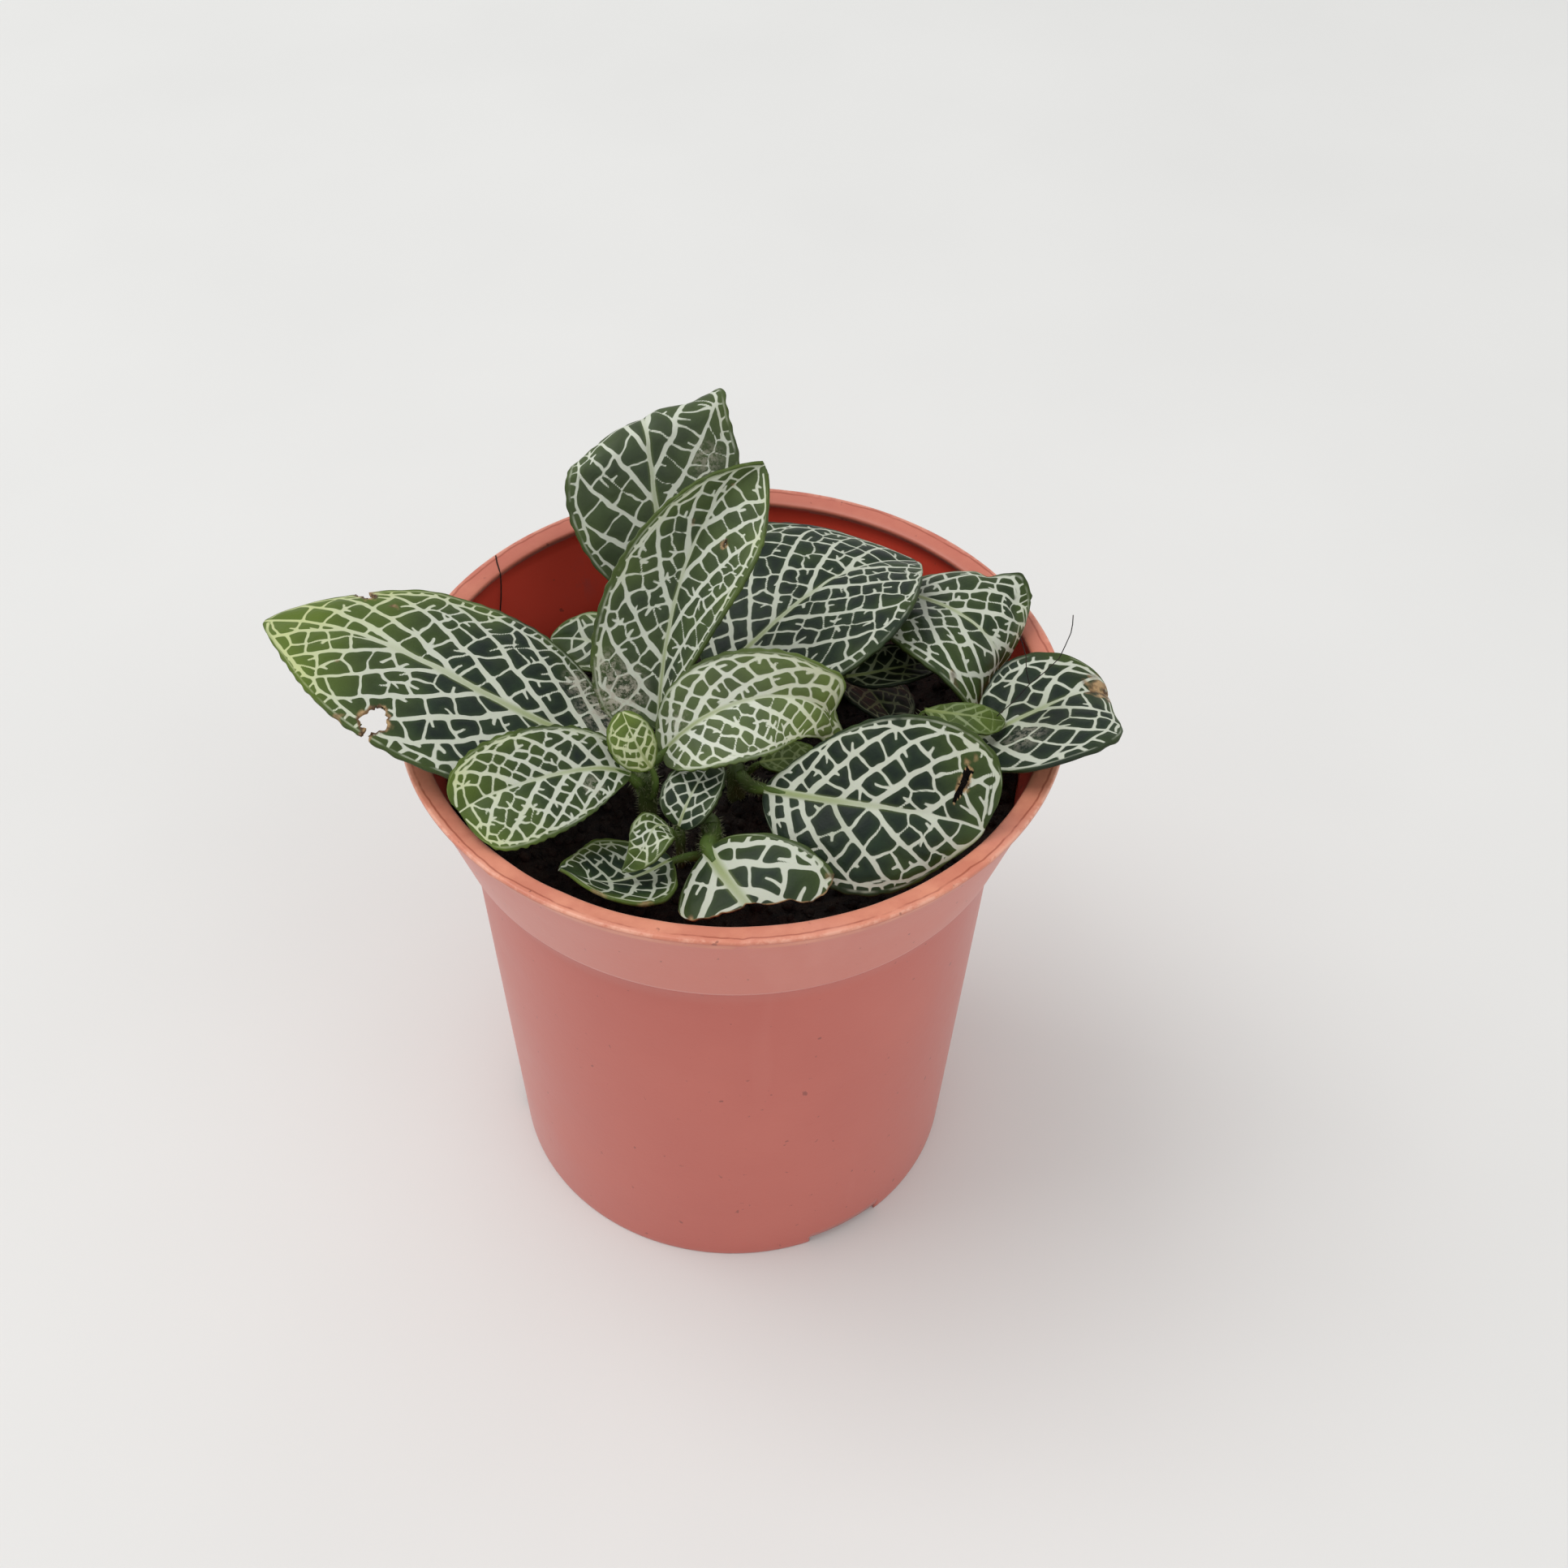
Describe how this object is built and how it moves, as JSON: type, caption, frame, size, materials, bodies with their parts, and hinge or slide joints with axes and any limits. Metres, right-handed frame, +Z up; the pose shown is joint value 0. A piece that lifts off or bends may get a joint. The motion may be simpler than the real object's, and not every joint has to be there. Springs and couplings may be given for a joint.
{
  "type": "potted nerve plant",
  "caption": "Small house plant with white-veined oval leaves on short stems, standing in soil in a tapered nursery pot with a flared collar and a flat lip.",
  "frame": {"origin": "centre of the pot's underside, on the surface that it stands on", "axes": "+Z up along the pot's axis, the pot's front faces -Y, the longest leaf points to -X"},
  "size_m": [0.1259, 0.1, 0.1336],
  "materials": {
    "pot_plastic": "thin moulded terracotta-coloured plastic, slightly glossy",
    "soil": "nearly black moist potting soil",
    "stem_green": "hairy olive-green stem",
    "leaf_green": "dark green leaf with a cream-white vein net",
    "leaf_young": "lime-green young leaf with pale veins"
  },
  "bodies": {
    "root": {"pot": "pot_plastic", "soil": "soil", "stem_main": "stem_green", "stem_front": "stem_green", "stem_small": "stem_green", "stem_right_front": "stem_green", "stem_centre": "stem_green", "stem_back": "stem_green", "stem_right": "stem_green", "stem_right_back": "stem_green", "stem_far_right": "stem_green", "leaf_left_large": "leaf_green", "leaf_left_front": "leaf_green", "leaf_centre_upright": "leaf_green", "leaf_back_upright": "leaf_green", "leaf_right_broad": "leaf_green", "leaf_centre_front": "leaf_green", "leaf_young_lime": "leaf_young", "leaf_front_right": "leaf_green", "leaf_front_cut": "leaf_green", "leaf_front_low": "leaf_green", "leaf_small_right": "leaf_green", "leaf_small_left": "leaf_green", "leaf_right_back": "leaf_green", "leaf_far_right": "leaf_green", "leaf_young_right": "leaf_young", "leaf_shaded_upper": "leaf_green", "leaf_shaded_lower": "leaf_green", "leaf_behind_left": "leaf_green", "leaf_shaded_young": "leaf_young"}
  },
  "joints": []
}
